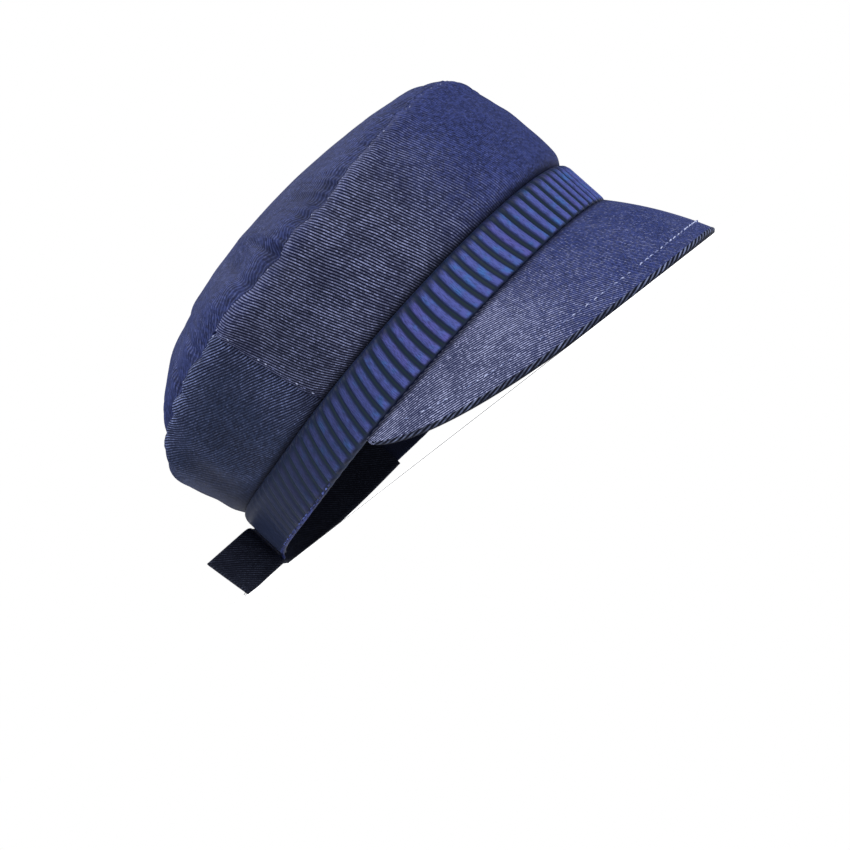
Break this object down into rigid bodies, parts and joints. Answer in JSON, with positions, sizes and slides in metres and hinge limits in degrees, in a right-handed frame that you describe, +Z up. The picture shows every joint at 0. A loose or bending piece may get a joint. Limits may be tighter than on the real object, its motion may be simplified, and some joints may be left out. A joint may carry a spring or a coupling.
{
  "type": "sailor cap",
  "caption": "Soft navy denim sailor cap with a ribbed satin band, a short dropped peak and a back strap with a free tail, standing by itself.",
  "frame": {"origin": "middle of the footprint of the cap's box, on the surface that the cap stands on", "axes": "+Z up, -Y towards the peak, -X towards the wearer's right, where the strap's tail sticks out"},
  "size_m": [0.1734, 0.243, 0.1189],
  "materials": {
    "denim": "navy denim twill, soft matte with pale diagonal lines",
    "ribbed_satin": "ribbed satin ribbon, blue cords with dark grooves, soft gloss",
    "peak_lining": "plain near-black navy cloth, matte",
    "strap_cloth": "dark navy twill, matte, with a raw cut end"
  },
  "bodies": {
    "root": {"crown_tip": "denim", "crown_front_panel": "denim", "crown_back_panel": "denim", "band": "ribbed_satin", "peak_upper": "denim", "peak_under": "peak_lining", "back_strap": "strap_cloth"}
  },
  "joints": []
}
